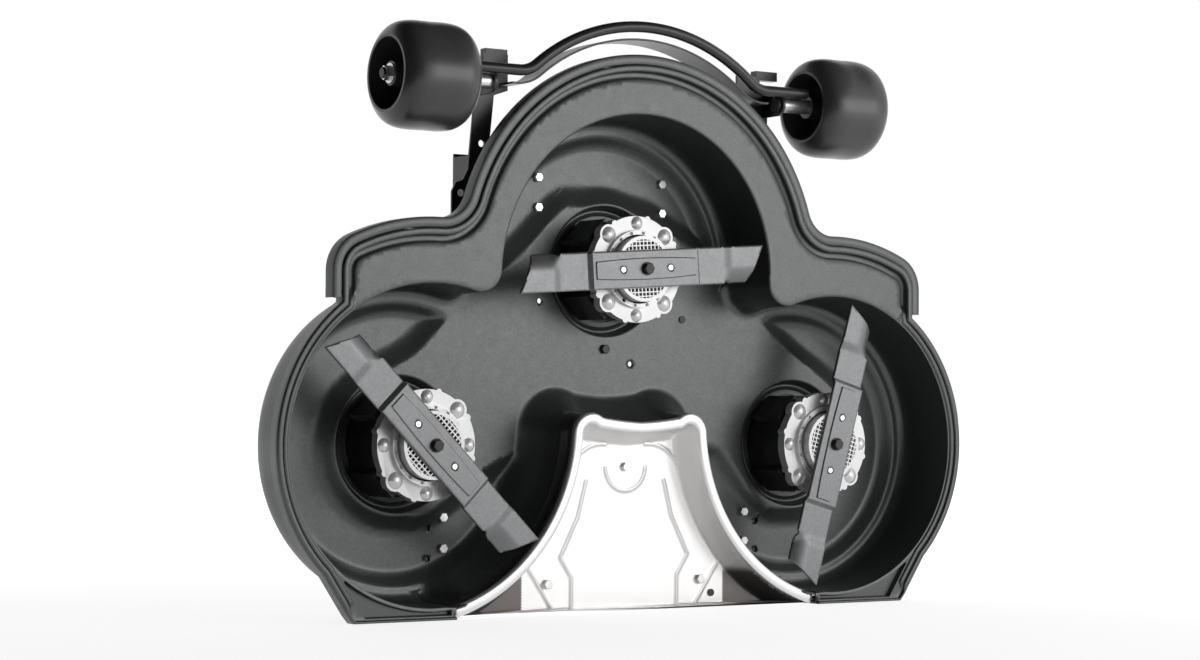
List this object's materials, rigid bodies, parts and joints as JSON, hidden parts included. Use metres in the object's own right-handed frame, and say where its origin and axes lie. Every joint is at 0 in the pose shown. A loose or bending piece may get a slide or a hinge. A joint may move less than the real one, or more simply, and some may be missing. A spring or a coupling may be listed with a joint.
{
  "type": "lawn mower deck",
  "caption": "Underside view of a riding mower cutting deck with electric spindles, swept blades, a bright mulching insert, a front guard rail and barrel gauge wheels.",
  "frame": {"origin": "middle of the box at its base: the rear edge that the deck stands on, midway across its width and depth", "axes": "+Z from the rear edge to the front of the deck, +X across to the right of the picture, +Y from the open underside up to the side that faces the mower"},
  "size_m": [1.19, 0.2319, 0.8607],
  "materials": {
    "shell": "semi-matt grey powder coat on pressed steel",
    "band": "moulded black edge band",
    "insert": "bright pressed aluminium, satin",
    "housing": "black coated cast aluminium",
    "shield": "bright machined aluminium",
    "carrier": "bright die-cast aluminium",
    "blade": "grey coated spring steel",
    "wheel": "satin black moulded plastic",
    "dark_fastener": "dark phosphated steel",
    "frame": "black powder coat on steel",
    "bright_fastener": "bright zinc plated steel"
  },
  "bodies": {
    "deck": {"centre_bolt": "dark_fastener", "centre_nut": "dark_fastener", "cover_screws": "dark_fastener", "deck_shell": "shell", "front_band": "band", "front_bolts": "bright_fastener", "front_nuts": "bright_fastener", "guard_rail": "frame", "guard_strap": "frame", "insert_bolts": "bright_fastener", "left_arm": "frame", "left_axle": "bright_fastener", "left_axle_nut": "bright_fastener", "left_axle_spacer": "bright_fastener", "left_axle_washer": "bright_fastener", "left_end_shield": "shield", "left_motor_cap": "housing", "left_motor_housing": "housing", "left_motor_screws": "bright_fastener", "left_rear_hanger": "frame", "left_shield_screws": "shield", "middle_end_shield": "shield", "middle_motor_cap": "housing", "middle_motor_housing": "housing", "middle_motor_screws": "bright_fastener", "middle_shield_screws": "shield", "mulch_insert": "insert", "right_arm": "frame", "right_axle": "bright_fastener", "right_axle_nut": "bright_fastener", "right_axle_spacer": "bright_fastener", "right_axle_washer": "bright_fastener", "right_end_shield": "shield", "right_motor_cap": "housing", "right_motor_housing": "housing", "right_motor_screws": "bright_fastener", "right_rear_hanger": "frame", "right_shield_screws": "shield", "side_bolts": "bright_fastener", "side_nuts": "bright_fastener"},
    "left_spindle": {"left_blade": "blade", "left_blade_bolt": "dark_fastener", "left_blade_carrier": "carrier", "left_drive_pins": "bright_fastener", "left_motor_shaft": "bright_fastener"},
    "middle_spindle": {"middle_blade": "blade", "middle_blade_bolt": "dark_fastener", "middle_blade_carrier": "carrier", "middle_drive_pins": "bright_fastener", "middle_motor_shaft": "bright_fastener"},
    "right_spindle": {"right_blade": "blade", "right_blade_bolt": "dark_fastener", "right_blade_carrier": "carrier", "right_drive_pins": "bright_fastener", "right_motor_shaft": "bright_fastener"},
    "left_wheel_body": {"left_wheel": "wheel"},
    "right_wheel_body": {"right_wheel": "wheel"}
  },
  "joints": [
    {"name": "left_blade_spin", "type": "hinge", "parent": "deck", "child": "left_spindle", "pos_m": [-0.35, -0.0662, 0.2415], "axis": [0, 1, 0], "continuous": true},
    {"name": "middle_blade_spin", "type": "hinge", "parent": "deck", "child": "middle_spindle", "pos_m": [0, -0.0662, 0.4974], "axis": [0, 1, 0], "continuous": true},
    {"name": "right_blade_spin", "type": "hinge", "parent": "deck", "child": "right_spindle", "pos_m": [0.35, -0.0662, 0.2415], "axis": [0, 1, 0], "continuous": true},
    {"name": "left_wheel_spin", "type": "hinge", "parent": "deck", "child": "left_wheel_body", "pos_m": [-0.3607, -0.0402, 0.7546], "axis": [1, 0, 0], "continuous": true},
    {"name": "right_wheel_spin", "type": "hinge", "parent": "deck", "child": "right_wheel_body", "pos_m": [0.3607, -0.0402, 0.7546], "axis": [1, 0, 0], "continuous": true}
  ]
}
